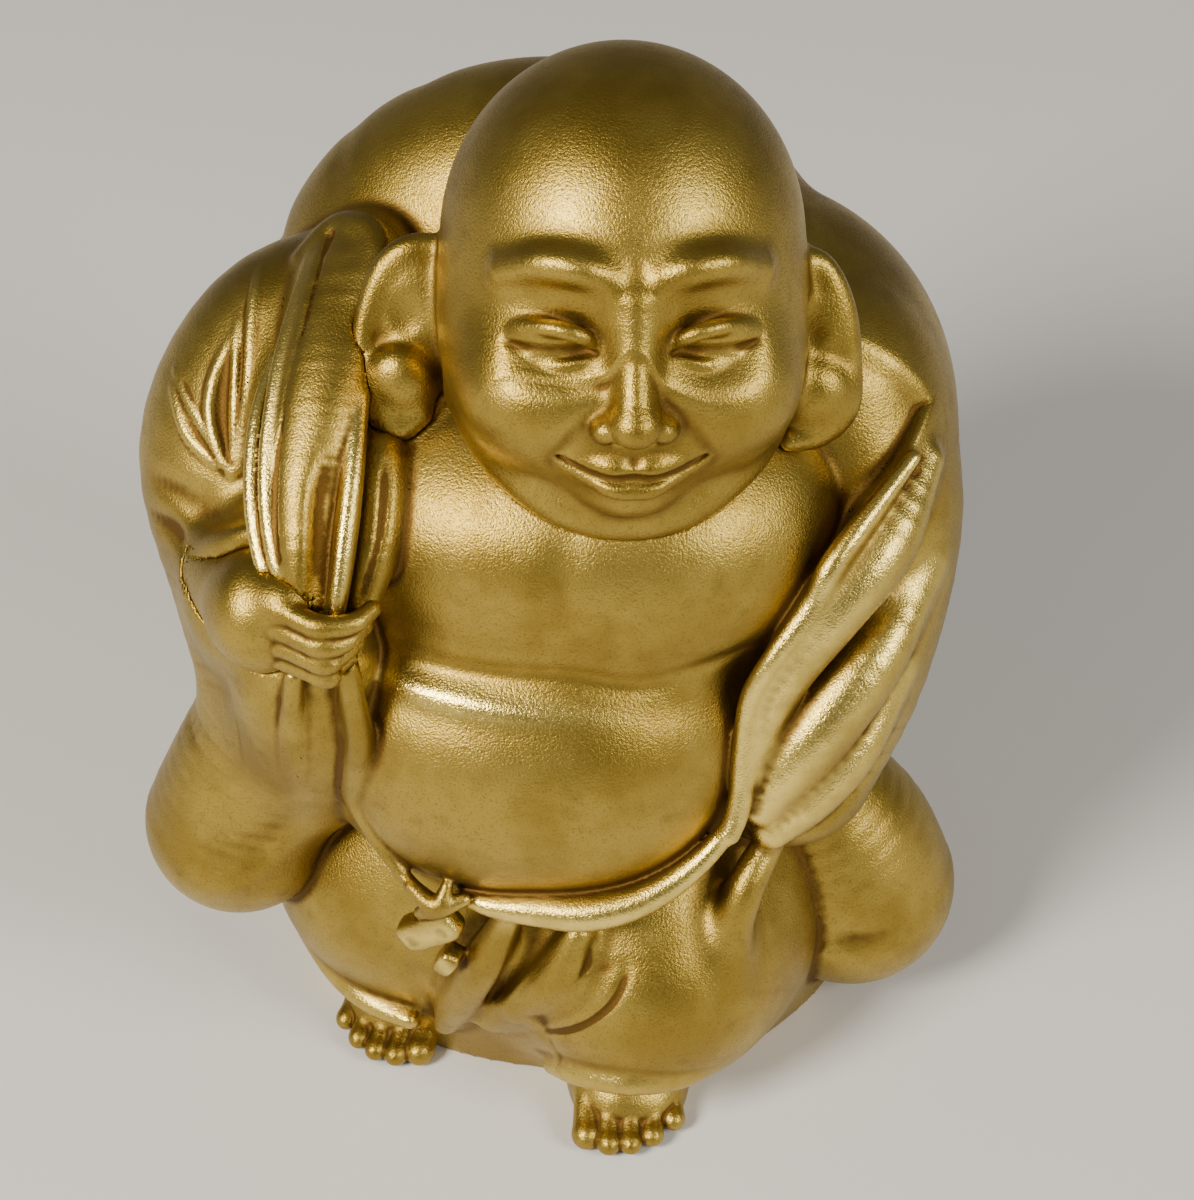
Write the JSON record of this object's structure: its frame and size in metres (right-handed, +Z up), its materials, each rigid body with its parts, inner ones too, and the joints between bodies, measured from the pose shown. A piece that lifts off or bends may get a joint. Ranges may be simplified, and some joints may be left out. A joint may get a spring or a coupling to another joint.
{
  "type": "laughing monk ornament",
  "caption": "Small gold-plated ornament of a standing, bald, pot-bellied monk who holds a sack over his right shoulder.",
  "frame": {"origin": "middle of the ornament's outline, on the surface that it stands on", "axes": "+Z up, the figure faces -Y, and its left side is +X"},
  "size_m": [0.049, 0.041, 0.0636],
  "materials": {
    "gold_plate": "satin gold plating with burnished ridges and folds"
  },
  "bodies": {
    "root": {"skirt": "gold_plate", "base_plate": "gold_plate", "torso": "gold_plate", "robe": "gold_plate", "left_sleeve": "gold_plate", "right_sleeve": "gold_plate", "right_hand": "gold_plate", "sack": "gold_plate", "sack_neck": "gold_plate", "head": "gold_plate", "sash": "gold_plate", "left_foot": "gold_plate", "right_foot": "gold_plate"}
  },
  "joints": []
}
